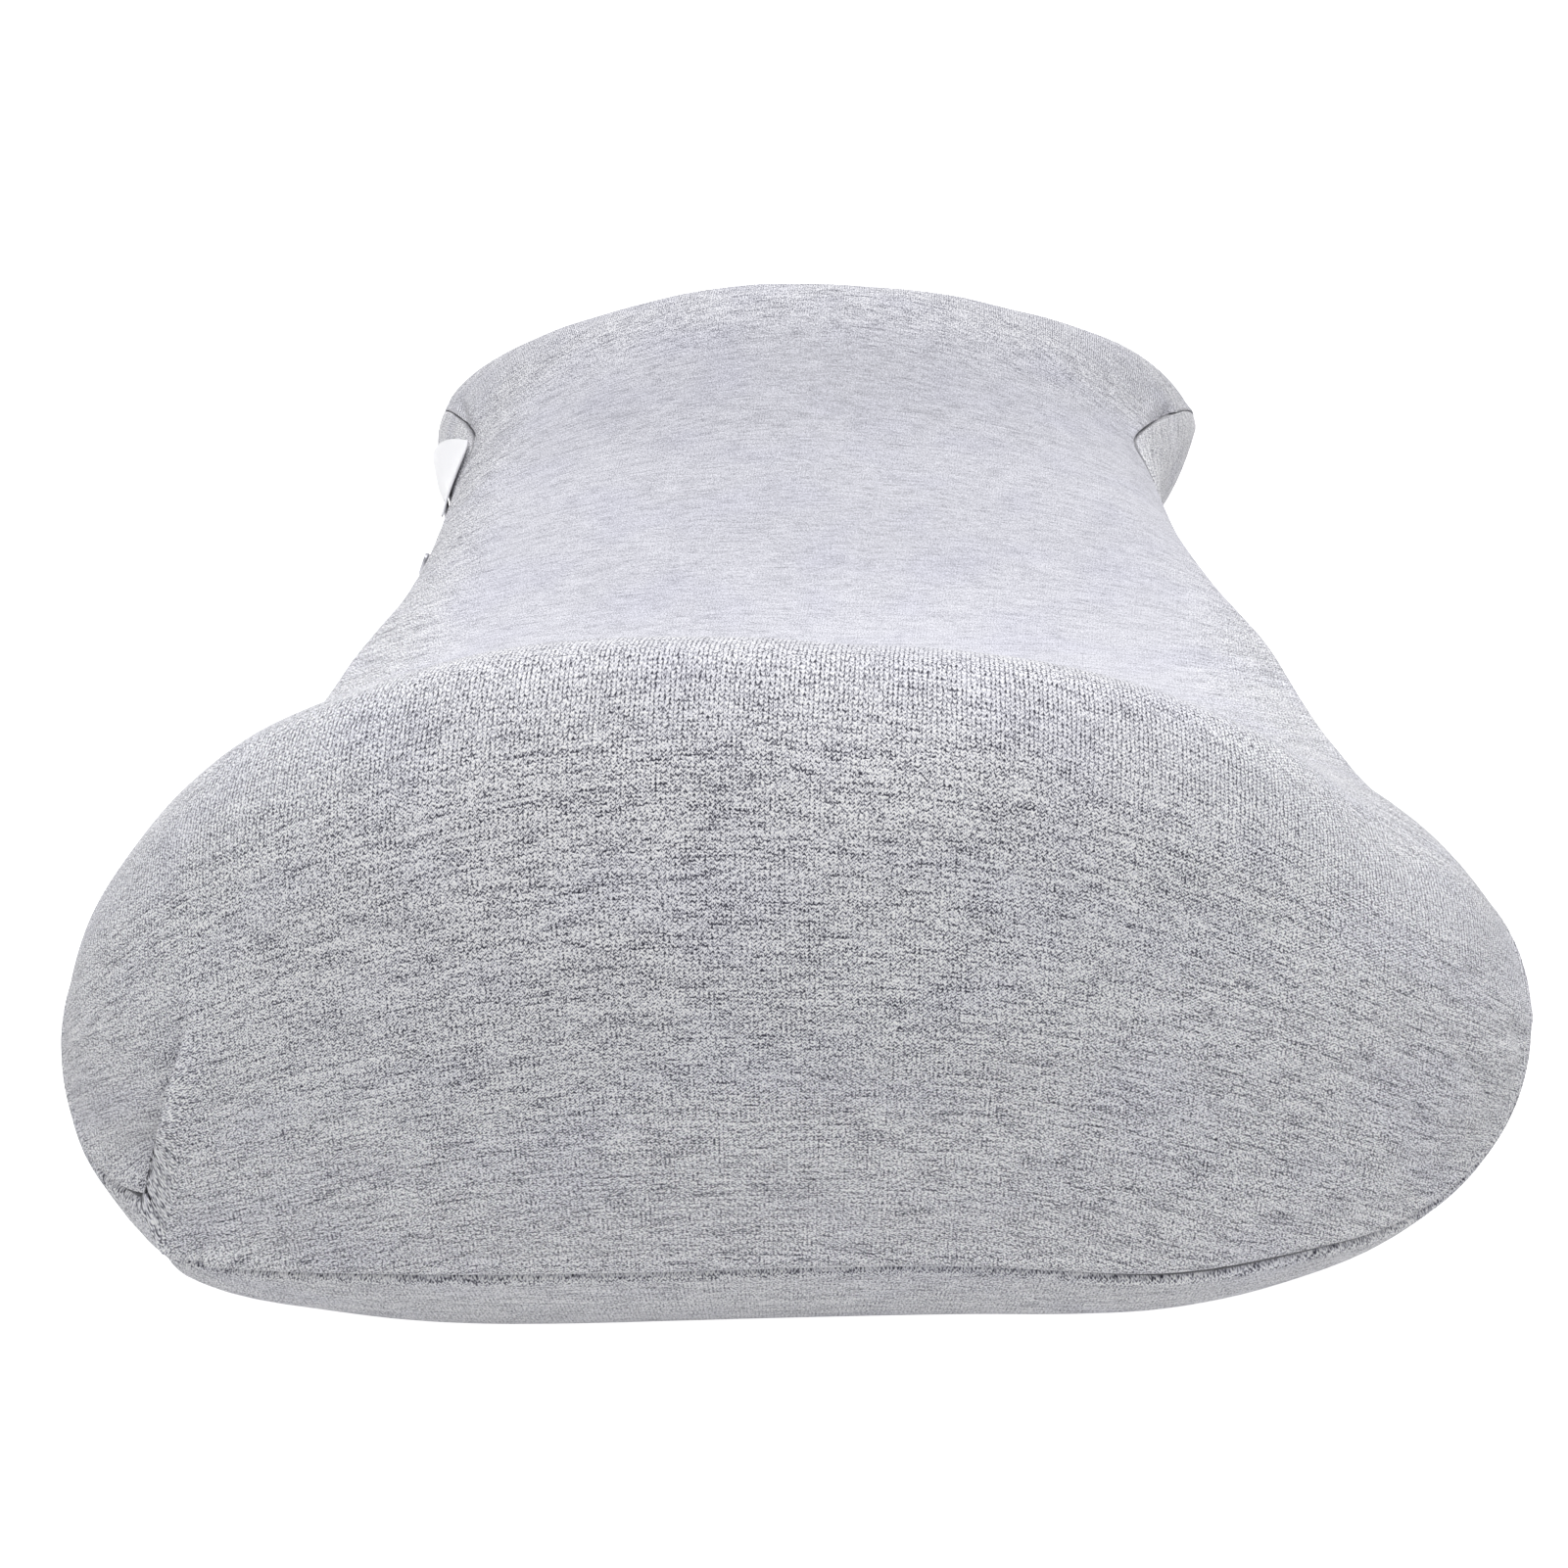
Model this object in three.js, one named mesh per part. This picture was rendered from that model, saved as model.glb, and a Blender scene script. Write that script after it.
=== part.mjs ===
// A contoured lumbar pillow that lies on its flat back.
// Millimetres. The origin is on the surface it rests on, at the middle of the rectangle it covers.
// +Y runs lengthwise from the near wing to the far wing, +X across the pillow, +Z up.
//
// The pillow is an hourglass in plan and a saddle from above: two raised wings with a low waist between.
// A crown panel wraps the top and both ends down to one seam that runs all the way round, and a base
// panel covers the back and curls up to the same seam.

import * as THREE from "three";

// ---- Driving dimensions ----------------------------------------------------------------------------

const LENGTH = 340; // over both ends
const PLAN_SQUARENESS = 6.3; // exponent of the plan outline: 2 is an ellipse, more is squarer
const WING_HALF_WIDTH = 152; // the half width that the plan outline is drawn at before the waist is taken in

// Half width of the pillow and the sideways set of its middle, at stations along the length.
const WAIST_STATIONS = [
  { at: -150, halfWidth: 150, set: -8.6 },
  { at: -100, halfWidth: 134, set: -6.1 },
  { at: -50, halfWidth: 133, set: -3.6 },
  { at: 0, halfWidth: 132, set: -0.1 },
  { at: 30, halfWidth: 122.5, set: 0.9 },
  { at: 60, halfWidth: 116.5, set: 0.6 },
  { at: 85, halfWidth: 119.5, set: 1.2 },
  { at: 110, halfWidth: 132.5, set: 5.2 },
  { at: 135, halfWidth: 142, set: 11.7 },
  { at: 155, halfWidth: 147.5, set: 13.2 },
];

// Height of the crown's middle line, from the crest of one wing to the crest of the other.
const RIDGE_STATIONS = [
  { at: -112, height: 130.5 },
  { at: -60, height: 72 },
  { at: 0, height: 57 },
  { at: 60, height: 86 },
  { at: 114, height: 115.5 },
];

// Exponents of the fall from a crest to the girth at its end, and from the middle line to a side. The
// higher the first, the flatter the middle, and the higher the second, the steeper the edge.
const END_FALL = { along: 1.58, drop: 1.23 };
const CROSS_FALL = { wing: { across: 2.27, drop: 1.54 }, waist: { across: 4.4, drop: 2.75 } };
const WING_TILT = { near: -0.084, far: -0.022 }; // how far a crest leans, as height per width
const WING_REACH = 100; // the lean and the wing's own cross fall are full this far from the waist

// Height above the resting surface of the girth, the line round the pillow where it is widest.
const GIRTH = { end: 31, wing: 64, waist: 50 };
const GIRTH_RISE = { waistToWing: 0.7, wingToEnd: 0.3 }; // shares of the half length that the changes take

// How far the seam rides above the girth: most on the inner side of the far wing.
const SEAM_LIFT = [
  { at: -170, lift: 2 },
  { at: -158, lift: 2.5 },
  { at: -142, lift: 6 },
  { at: -110, lift: 7 },
  { at: -50, lift: 3 },
  { at: 60, lift: 3 },
  { at: 92, lift: 13 },
  { at: 112, lift: 13.5 },
  { at: 130, lift: 7 },
  { at: 150, lift: 4 },
  { at: 170, lift: 2 },
];

// How far the base panel tucks under between the girth and the resting surface, as a share of the plan.
const TUCK = { side: 0.212, end: 0.035, fullness: 1.47 };

const CLOTH = 2; // cover cloth with its backing
const GAP = 0.3; // between neighbouring pieces
const RIM_DROP = 0.5; // of the base panel's rim below the seam

// The label is given by the girth's stations at its sides. Its hanging end is set a little further along.
const LABEL = { from: 99, to: 74, swing: 12, overGirth: 0.75, dropTurn: 0.14, thickness: 0.8, clear: 0.6 };
const PULL = { width: 4.6, length: 10, thickness: 1.8, at: 53, droop: 50, below: 2, clear: 0.7 };

const MESH = {
  around: 96, crownRings: 16, brimRings: 2, tuckRings: 6, floorRings: 3, labelSteps: 10, step: 1e-3,
};

// ---- Materials -------------------------------------------------------------------------------------

const crownCloth = new THREE.MeshStandardMaterial({ color: 0xb9b9c1, roughness: 0.92, metalness: 0 });
const baseCloth = new THREE.MeshStandardMaterial({ color: 0xadadb5, roughness: 0.92, metalness: 0 });
const labelRibbon = new THREE.MeshStandardMaterial({ color: 0xf3f3f8, roughness: 0.6, metalness: 0 });
const pullMetal = new THREE.MeshStandardMaterial({ color: 0xb4b4ba, roughness: 0.45, metalness: 0.3 });

// ---- Shape of the pillow ---------------------------------------------------------------------------

const halfLength = LENGTH / 2;
const quarterTurn = Math.PI / 2;

const ease = (t) => 0.5 - 0.5 * Math.cos(Math.PI * THREE.MathUtils.clamp(t, 0, 1));

// A smooth curve through one column of a table of stations, level at both ends.
function alongStations(rows, column, y) {
  const last = rows.length - 1;
  const slope = (i) => {
    if (i === 0 || i === last) return 0;
    return (rows[i + 1][column] - rows[i - 1][column]) / (rows[i + 1].at - rows[i - 1].at);
  };
  const at = THREE.MathUtils.clamp(y, rows[0].at, rows[last].at);
  let i = 0;
  while (i < last - 1 && at > rows[i + 1].at) i += 1;
  const span = rows[i + 1].at - rows[i].at;
  const t = (at - rows[i].at) / span;
  const start = rows[i][column] * (1 + 2 * t) * (1 - t) ** 2 + slope(i) * span * t * (1 - t) ** 2;
  const end = rows[i + 1][column] * t * t * (3 - 2 * t) + slope(i + 1) * span * t * t * (t - 1);
  return start + end;
}

const halfWidthAt = (y) => alongStations(WAIST_STATIONS, "halfWidth", y);
const setAt = (y) => alongStations(WAIST_STATIONS, "set", y);

// Plan outline: a squared-off oval whose width follows the stations. The angle starts at +X.
function outline(angle) {
  const across = Math.abs(Math.cos(angle) / WING_HALF_WIDTH) ** PLAN_SQUARENESS;
  const along = Math.abs(Math.sin(angle) / halfLength) ** PLAN_SQUARENESS;
  const radius = (across + along) ** (-1 / PLAN_SQUARENESS);
  const y = radius * Math.sin(angle);
  return { x: (radius * Math.cos(angle) * halfWidthAt(y)) / WING_HALF_WIDTH, y };
}

// Half width of the outline at a station, its rounded corners included.
function edgeAt(y) {
  const share = THREE.MathUtils.clamp(Math.abs(y) / halfLength, 0, 1);
  return halfWidthAt(y) * (1 - share ** PLAN_SQUARENESS) ** (1 / PLAN_SQUARENESS);
}

function girthHeight(y) {
  const share = Math.abs(y) / halfLength;
  const side = THREE.MathUtils.lerp(GIRTH.waist, GIRTH.wing, ease(share / GIRTH_RISE.waistToWing));
  const past = share - 1 + GIRTH_RISE.wingToEnd;
  return THREE.MathUtils.lerp(side, GIRTH.end, ease(past / GIRTH_RISE.wingToEnd));
}

// Share of a crest's height over the girth that is left at a station: all of it between the crests.
function endFall(y) {
  const crest = Math.abs(crestFor(y).at);
  const past = THREE.MathUtils.clamp((Math.abs(y) - crest) / (halfLength - crest), 0, 1);
  return (1 - past ** END_FALL.along) ** (1 / END_FALL.drop);
}

const crestFor = (y) => RIDGE_STATIONS[y < 0 ? 0 : RIDGE_STATIONS.length - 1];

function ridgeHeight(y) {
  const fall = endFall(y);
  if (fall === 1) return alongStations(RIDGE_STATIONS, "height", y);
  return THREE.MathUtils.lerp(GIRTH.end, crestFor(y).height, fall);
}

function crownHeight(x, y) {
  const wing = Math.min(Math.abs(y) / WING_REACH, 1);
  const lean = (y < 0 ? WING_TILT.near : WING_TILT.far) * wing ** 2 * endFall(y);
  const share = Math.min(Math.abs(x) / Math.max(edgeAt(y), MESH.step), 1);
  const across = THREE.MathUtils.lerp(CROSS_FALL.waist.across, CROSS_FALL.wing.across, ease(wing));
  const drop = THREE.MathUtils.lerp(CROSS_FALL.waist.drop, CROSS_FALL.wing.drop, ease(wing));
  const fall = (1 - share ** across) ** (1 / drop);
  const girth = girthHeight(y);
  return girth + (ridgeHeight(y) + lean * x - girth) * fall;
}

// A point of the upper side: reach is 0 at the middle and 1 at the girth.
function upperPoint(angle, reach) {
  const edge = outline(angle);
  const x = edge.x * reach;
  const y = edge.y * reach;
  return new THREE.Vector3(x + setAt(y), y, crownHeight(x, y));
}

// The reach at which the upper side passes the seam, or a height below it.
function seamReach(angle, below = 0) {
  const edge = outline(angle);
  const seamHeight = girthHeight(edge.y) + alongStations(SEAM_LIFT, "lift", edge.y) - below;
  let low = 0.8;
  let high = 1;
  for (let i = 0; i < 40; i += 1) {
    const middle = (low + high) / 2;
    if (upperPoint(angle, middle).z > seamHeight) low = middle;
    else high = middle;
  }
  return (low + high) / 2;
}

// A point of the underside: turn is 0 at the girth and a quarter turn where it meets the resting surface.
function undersidePoint(angle, turn) {
  const edge = outline(angle);
  const tuck = 1 - Math.abs(Math.cos(turn)) ** TUCK.fullness;
  const y = edge.y * (1 - TUCK.end * tuck);
  const x = edge.x * (1 - TUCK.side * tuck);
  return new THREE.Vector3(x + setAt(y), y, girthHeight(edge.y) * (1 - Math.sin(turn)));
}

// The outward direction of the girth, on the level.
function outwardAt(angle) {
  const ahead = undersidePoint(angle + MESH.step, 0);
  const behind = undersidePoint(angle - MESH.step, 0);
  return new THREE.Vector3(ahead.y - behind.y, behind.x - ahead.x, 0).normalize();
}

// The same point moved in from the side and up from the resting surface by a depth, or out by a negative one.
function undersideInset(angle, turn, depth) {
  const point = undersidePoint(angle, turn);
  const girth = girthHeight(outline(angle).y);
  point.addScaledVector(outwardAt(angle), -depth);
  return point.setZ(depth + (girth - depth) * (1 - Math.sin(turn)));
}

// A point of the upper side, given by its reach, moved in from the side.
function upperInset(angle, reach, depth) {
  return upperPoint(angle, reach).addScaledVector(outwardAt(angle), -depth);
}

// A point of the brim, from the girth (share 0) to just under the seam (share 1), moved in from the side.
function brimInset(angle, share, depth) {
  return upperInset(angle, THREE.MathUtils.lerp(1, seamReach(angle, RIM_DROP), share), depth);
}

// ---- Building solids -------------------------------------------------------------------------------

// A closed solid from a stack of rings, each a function of the angle, between two end points.
function ringSolid(top, rings, bottom) {
  const positions = [top, ...rings.flatMap((ring) =>
    Array.from({ length: MESH.around }, (_, k) => ring((k / MESH.around) * 2 * Math.PI))), bottom];
  const vertex = (ring, k) => 1 + ring * MESH.around + (k % MESH.around);
  const lastVertex = positions.length - 1;
  const triangles = [];
  for (let k = 0; k < MESH.around; k += 1) {
    triangles.push(0, vertex(0, k), vertex(0, k + 1));
    for (let r = 0; r + 1 < rings.length; r += 1) {
      const [a, b, c, d] = [vertex(r, k), vertex(r + 1, k), vertex(r + 1, k + 1), vertex(r, k + 1)];
      // The diagonal always climbs, or on the level widens, so neighbouring pieces' facets stay parallel.
      const climb = positions[b].z - positions[a].z;
      const reach = (corner) => Math.hypot(positions[corner].x, positions[corner].y);
      const widening = reach(b) - reach(a);
      if (climb + widening * MESH.step > 0) triangles.push(a, b, c, a, c, d);
      else triangles.push(a, b, d, b, c, d);
    }
    triangles.push(lastVertex, vertex(rings.length - 1, k + 1), vertex(rings.length - 1, k));
  }
  return indexedSolid(positions, triangles);
}

// A closed sheet from a grid of points on each of its two faces: face(column, row, side), side 0 or 1.
function sheetSolid(columns, rows, face) {
  const positions = [];
  for (const side of [0, 1]) {
    for (let r = 0; r <= rows; r += 1) {
      for (let c = 0; c <= columns; c += 1) positions.push(face(c / columns, r / rows, side));
    }
  }
  const vertex = (c, r, side) => side * (rows + 1) * (columns + 1) + r * (columns + 1) + c;
  const triangles = [];
  const quad = (a, b, c, d) => triangles.push(a, c, b, a, d, c);
  for (let r = 0; r < rows; r += 1) {
    for (let c = 0; c < columns; c += 1) {
      quad(vertex(c, r, 0), vertex(c, r + 1, 0), vertex(c + 1, r + 1, 0), vertex(c + 1, r, 0));
      quad(vertex(c, r, 1), vertex(c + 1, r, 1), vertex(c + 1, r + 1, 1), vertex(c, r + 1, 1));
    }
    quad(vertex(0, r, 0), vertex(0, r, 1), vertex(0, r + 1, 1), vertex(0, r + 1, 0));
    quad(vertex(columns, r, 0), vertex(columns, r + 1, 0), vertex(columns, r + 1, 1), vertex(columns, r, 1));
  }
  for (let c = 0; c < columns; c += 1) {
    quad(vertex(c, 0, 0), vertex(c + 1, 0, 0), vertex(c + 1, 0, 1), vertex(c, 0, 1));
    quad(vertex(c, rows, 0), vertex(c, rows, 1), vertex(c + 1, rows, 1), vertex(c + 1, rows, 0));
  }
  return indexedSolid(positions, triangles);
}

function indexedSolid(positions, triangles) {
  const geometry = new THREE.BufferGeometry();
  const coordinates = positions.flatMap((point) => point.toArray());
  geometry.setAttribute("position", new THREE.Float32BufferAttribute(coordinates, 3));
  geometry.setIndex(triangles);
  geometry.computeVertexNormals();
  return geometry;
}

const countUp = (count, from, to) =>
  Array.from({ length: count }, (_, i) => from + ((to - from) * (i + 1)) / count);

function named(name, geometry, material) {
  const mesh = new THREE.Mesh(geometry, material);
  mesh.name = name;
  return mesh;
}

// ---- The pieces ------------------------------------------------------------------------------------

const lowered = (point, drop) => point.setZ(point.z - drop);

// The filled pillow under its crown panel. Below the seam it is stepped in by the base panel's thickness.
function filledPillow() {
  const crown = countUp(MESH.crownRings, 0, 1).map((share) => {
    const reach = Math.sin(share * quarterTurn);
    return (angle) => upperPoint(angle, reach * seamReach(angle));
  });
  const inset = CLOTH + GAP;
  const ledge = (angle) => upperInset(angle, seamReach(angle), inset);
  const brim = [1, ...countUp(MESH.brimRings, 1, 0)].map((share) => (angle) =>
    lowered(brimInset(angle, share, inset), GAP * share));
  const under = countUp(MESH.tuckRings, 0, quarterTurn).map((turn) => (angle) =>
    undersideInset(angle, turn, inset));
  return ringSolid(
    new THREE.Vector3(0, 0, crownHeight(0, 0)),
    [...crown, ledge, ...brim, ...under],
    new THREE.Vector3(0, 0, inset),
  );
}

// The base panel: flat on the resting surface, curled up over the girth to just under the seam.
function basePanel() {
  const floor = (depth) => countUp(MESH.floorRings, 0, 1).slice(0, -1).map((share) => (angle) => {
    const foot = undersideInset(angle, quarterTurn, depth);
    return new THREE.Vector3(foot.x * share, foot.y * share, depth);
  });
  const rise = (depth) => [quarterTurn, ...countUp(MESH.tuckRings, quarterTurn, 0)].map((turn) =>
    (angle) => undersideInset(angle, turn, depth));
  const brim = (depth) => countUp(MESH.brimRings, 0, 1).map((share) => (angle) =>
    brimInset(angle, share, depth));
  const face = (depth) => [...floor(depth), ...rise(depth), ...brim(depth)];
  const middle = (height) => new THREE.Vector3(0, 0, height);
  return ringSolid(middle(CLOTH), [...face(CLOTH), ...face(0).reverse()], middle(0));
}

// The angle at which the left side of the outline passes a station.
function leftAngleAt(y) {
  let low = quarterTurn;
  let high = 3 * quarterTurn;
  for (let i = 0; i < 40; i += 1) {
    const middle = (low + high) / 2;
    if (outline(middle).y > y) low = middle;
    else high = middle;
  }
  return (low + high) / 2;
}

// A blank ribbon label that hangs from the seam over the brim and the girth, left of the far wing.
function careLabel() {
  return sheetSolid(MESH.labelSteps, MESH.labelSteps, (across, down, side) => {
    const station = THREE.MathUtils.lerp(LABEL.from, LABEL.to, across) + LABEL.swing * down;
    const angle = leftAngleAt(station);
    const proud = LABEL.clear + side * LABEL.thickness;
    const share = 1 - down / LABEL.overGirth;
    if (share > 0) return lowered(brimInset(angle, share, -proud), -proud * share);
    return undersideInset(angle, (-share * LABEL.dropTurn) / (1 / LABEL.overGirth - 1), -proud);
  });
}

// The tab of the zip's slider, which stands out of the side seam at the waist and droops.
function zipPull() {
  const angle = leftAngleAt(PULL.at);
  const outlineShape = new THREE.Shape();
  const radius = PULL.width / 2;
  outlineShape.moveTo(-radius, 0);
  outlineShape.lineTo(radius, 0);
  outlineShape.lineTo(radius, PULL.length - radius);
  outlineShape.absarc(0, PULL.length - radius, radius, 0, Math.PI, false);
  outlineShape.closePath();
  const geometry = new THREE.ExtrudeGeometry(outlineShape, {
    depth: PULL.thickness, bevelEnabled: false, curveSegments: 10,
  });
  geometry.translate(0, 0, -PULL.thickness / 2);
  const pull = named("zip_pull", geometry, pullMetal);
  const root = undersideInset(angle, PULL.below / GIRTH.waist, -(PULL.clear + PULL.thickness / 2));
  pull.rotation.set(THREE.MathUtils.degToRad(-PULL.droop), 0, quarterTurn, "ZXY");
  pull.position.copy(root);
  return pull;
}

// ---- The object ------------------------------------------------------------------------------------

const group = new THREE.Group();
group.add(named("pillow_body", filledPillow(), crownCloth));
group.add(named("base_panel", basePanel(), baseCloth));
group.add(named("care_label", careLabel(), labelRibbon));
group.add(zipPull());

export default group;
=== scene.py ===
"""A contoured lumbar pillow in a heather jersey cover, lying on its flat back.

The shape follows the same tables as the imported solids: an hourglass in plan, a saddle from above. Lengths
in the tables are millimetres and become metres where a mesh is made.
"""

import math

import bmesh
import bpy
import numpy as np
from mathutils import Matrix, Vector


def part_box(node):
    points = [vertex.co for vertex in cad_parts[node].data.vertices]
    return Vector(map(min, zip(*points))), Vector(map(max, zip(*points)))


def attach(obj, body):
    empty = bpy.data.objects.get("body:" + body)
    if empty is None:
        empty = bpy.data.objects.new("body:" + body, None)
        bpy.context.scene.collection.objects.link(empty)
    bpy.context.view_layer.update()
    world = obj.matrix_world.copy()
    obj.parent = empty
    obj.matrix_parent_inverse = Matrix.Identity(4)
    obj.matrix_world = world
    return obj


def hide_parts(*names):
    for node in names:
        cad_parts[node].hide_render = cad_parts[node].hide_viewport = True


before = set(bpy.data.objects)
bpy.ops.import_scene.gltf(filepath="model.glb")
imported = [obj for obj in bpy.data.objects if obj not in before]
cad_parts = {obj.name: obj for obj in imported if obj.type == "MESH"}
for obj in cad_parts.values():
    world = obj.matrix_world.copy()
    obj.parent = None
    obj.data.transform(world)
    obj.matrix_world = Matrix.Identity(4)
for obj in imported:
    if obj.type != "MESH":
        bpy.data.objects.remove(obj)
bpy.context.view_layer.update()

MM = 0.001
BODY = "root"
QUARTER_TURN = math.pi / 2

# ---- Driving dimensions of the pillow, in millimetres ----------------------------------------------

HALF_LENGTH = 170.0
PLAN_SQUARENESS = 6.3

# Half width of the pillow and the sideways set of its middle, at stations along the length.
WAIST_STATIONS = [
    {"at": -150, "half_width": 150, "set": -8.6},
    {"at": -100, "half_width": 134, "set": -6.1},
    {"at": -50, "half_width": 133, "set": -3.6},
    {"at": 0, "half_width": 132, "set": -0.1},
    {"at": 30, "half_width": 122.5, "set": 0.9},
    {"at": 60, "half_width": 116.5, "set": 0.6},
    {"at": 85, "half_width": 119.5, "set": 1.2},
    {"at": 110, "half_width": 132.5, "set": 5.2},
    {"at": 135, "half_width": 142, "set": 11.7},
    {"at": 155, "half_width": 147.5, "set": 13.2},
]

# Height of the crown's middle line between the crests of the wings.
RIDGE_STATIONS = [
    {"at": -112, "height": 130.5},
    {"at": -60, "height": 72},
    {"at": 0, "height": 57},
    {"at": 60, "height": 86},
    {"at": 114, "height": 115.5},
]

END_FALL = {"along": 1.58, "drop": 1.23}
CROSS_FALL = {"wing": {"across": 2.27, "drop": 1.54}, "waist": {"across": 4.4, "drop": 2.75}}
WING_TILT = {"near": -0.084, "far": -0.022}
WING_REACH = 100

# Height of the girth, the line round the pillow where it is widest, and how far the seam rides above it.
GIRTH = {"end": 31, "wing": 64, "waist": 50}
GIRTH_RISE = {"waist_to_wing": 0.7, "wing_to_end": 0.3}
SEAM_LIFT = [
    {"at": -170, "lift": 2},
    {"at": -158, "lift": 2.5},
    {"at": -142, "lift": 6},
    {"at": -110, "lift": 7},
    {"at": -60, "lift": 0.8},
    {"at": 20, "lift": 0.8},
    {"at": 60, "lift": 2},
    {"at": 92, "lift": 13},
    {"at": 112, "lift": 13.5},
    {"at": 130, "lift": 7},
    {"at": 150, "lift": 4},
    {"at": 170, "lift": 2},
]
TUCK = {"side": 0.212, "end": 0.035, "fullness": 1.47}
CLOTH = 2.0
GAP = 0.3
RIM_DROP = 0.5

# ---- Where the stuffing and the cloth depart from the even shape ------------------------------------

# Soft pushes on every piece alike: each moves what lies within its reach by a vector. Where a side is
# given, the push stops short at the plane through its middle and acts only on that side. All of them fade
# out toward the resting surface.
PUSHES = [
    {"at": (60, -167, 33), "reach": 23, "push": (0, 0, -4.6)},
    {"at": (104, -165, 30), "reach": 14, "push": (0, 0, -1.6)},
    {"at": (-95, -166, 33), "reach": 32, "push": (0, 0, 1.0)},
    {"at": (-128, -163, 44), "reach": 14, "push": (3.4, 4.6, 12.5), "side": (-0.714, 0.616, 0.098)},
    {"at": (140, -142, 52), "reach": 24, "push": (0.6, 0, 0)},
    {"at": (-128, -158, 24), "reach": 22, "push": (-1.0, -1.6, 0)},
    {"at": (45, -168, 14), "reach": 34, "push": (0, -1.8, 0)},
    {"at": (-146, -136, 60), "reach": 22, "push": (0.9, 0, 0)},
    {"at": (112, -158, 14), "reach": 26, "push": (-1.6, 1.6, 0)},
    {"at": (-130, 136, 90), "reach": 22, "push": (-2.5, 0, 0)},
    {"at": (-104, 84, 66), "reach": 15, "push": (2.8, 0, 1.5)},
    {"at": (-116, 104, 78), "reach": 18, "push": (2.0, 0, 3.5)},
    {"at": (116, 118, 98), "reach": 26, "push": (2.0, 0, 1.2)},
    {"at": (100, -112, 100), "reach": 22, "push": (0, 0, -4.5)},
]

PUSH_SIDE_EDGE = 3.0
RESTING_FADE = 12.0

# Folds and creases in the crown panel. A fold is a line of places on the cloth. Its left side, seen from
# outside going along the line, stands up by rise and lies over the right side, which sinks by drop.
FOLDS = [
    {
        "path": [(-112.5, -143, 83.5), (-114.2, -145.3, 78.6), (-116.5, -148.6, 71.7), (-119.7, -152, 64.3),
                 (-123, -155.4, 56.6), (-126.7, -158.7, 48.3), (-129.3, -161, 41.8), (-131, -162.5, 36)],
        "rise": 2.3, "drop": 2.6, "width": 5.0, "lap": 2.0, "fade": (0.4, 0.0),
    },
    {
        "path": [(-114.2, -161.8, 46.9), (-117.4, -163.8, 40.9), (-120, -165.8, 35)],
        "rise": 0.6, "drop": 0.9, "width": 4.0, "lap": 0.5, "fade": (0.5, 0.0),
    },
]

# The fold's edge in millimetres, the share of its width that the lower side takes, how far in from the edge
# the cloth laps over, and how fast every fold and pucker rounds off past its ends.
FOLD_FORM = {"edge": 1.3, "under": 0.6, "lap_reach": 2.6, "lap_from": -0.2, "rounding": 2.5}

# Shallow puckers: a trough with a soft ridge on either side.
PUCKERS = [
    {"path": [(107, -144, 70), (114.5, -147, 60), (123, -149, 49)],
     "depth": 0.9, "width": 2.6, "fade": (0.4, 0.4)},
    {"path": [(100, -153, 58), (106, -155, 51)],
     "depth": 0.7, "width": 2.4, "fade": (0.4, 0.4)},
    {"path": [(124, -141, 66), (129, -141, 58)],
     "depth": 0.9, "width": 2.2, "fade": (0.4, 0.3)},
    {"path": [(110, 80, 77.5), (118, 95, 78), (127, 109, 77.6)],
     "depth": 1.5, "width": 2.4, "fade": (0.3, 0.1)},
    {"path": [(-111.5, 107, 83), (-109, 93, 81), (-105, 83, 80)],
     "depth": 1.2, "width": 2.2, "fade": (0.2, 0.4)},
]
PUCKER_FORM = {"ridge": 0.4, "ridge_at": 1.9, "trough": 0.7}

# Slow unevenness of the stuffing: wave lengths and heights.
UNEVEN = [{"length": 92, "height": 0.55}, {"length": 57, "height": 0.35}, {"length": 34, "height": 0.2},
          {"length": 19, "height": 0.08}]

# How much of the unevenness is left right at the seam, how far in from the seam it comes back, and how
# much of it the base panel's side has.
UNEVEN_SHARE = {"at_seam": 0.3, "seam_reach": 12.0, "base": 0.6}

# The crown's edge swells a little before it turns in at the seam, and so does the base panel's rim.
SEAM_EDGE = {
    "crown": {"swell": 0.6, "swell_at": 2.4, "swell_width": 2.0, "tuck": 1.15, "tuck_reach": 0.5},
    "base": {"swell": 0.15, "swell_at": 2.0, "swell_width": 1.6, "tuck": 1.0, "tuck_reach": 0.5},
}

# Over the far wing the seam lies flatter, by this share, from the first of the stations to the second.
FLAT_SEAM = {"share": 0.85, "from": 55, "to": 85}

CROWN_MESH = {"across": 270, "along": 300, "edge_crowding": 0.9}
HIDDEN_MESH = {"brim": (1.0, 0.5, 0.0), "tuck": 6, "floor": (0.6, 0.25)}
BASE_MESH = {"floor": 5, "tuck": 18, "brim": 10, "tuck_inside": 8, "brim_inside": 3}

# ---- The knit --------------------------------------------------------------------------------------

KNIT = {"wale": 0.78, "course": 0.52}
PANEL_SPAN = 640.0  # side of the square that a panel's flat pattern is laid out in

# How the knit lies on the crown: courses bow toward the near end at the sides, by this slope for each
# millimetre from the middle, and lean across the near wing. The wales slant in the waist.
COURSE_BOW = 0.0024
KNIT_STATIONS = [
    {"at": -170, "lean": 0.05, "slant": 0.02},
    {"at": -140, "lean": 0.05, "slant": 0.03},
    {"at": -112, "lean": 0.03, "slant": 0.17},
    {"at": -60, "lean": 0.0, "slant": 0.21},
    {"at": 10, "lean": 0.0, "slant": 0.22},
    {"at": 60, "lean": 0.0, "slant": 0.18},
    {"at": 114, "lean": 0.0, "slant": 0.12},
    {"at": 170, "lean": 0.0, "slant": 0.05},
]

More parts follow.
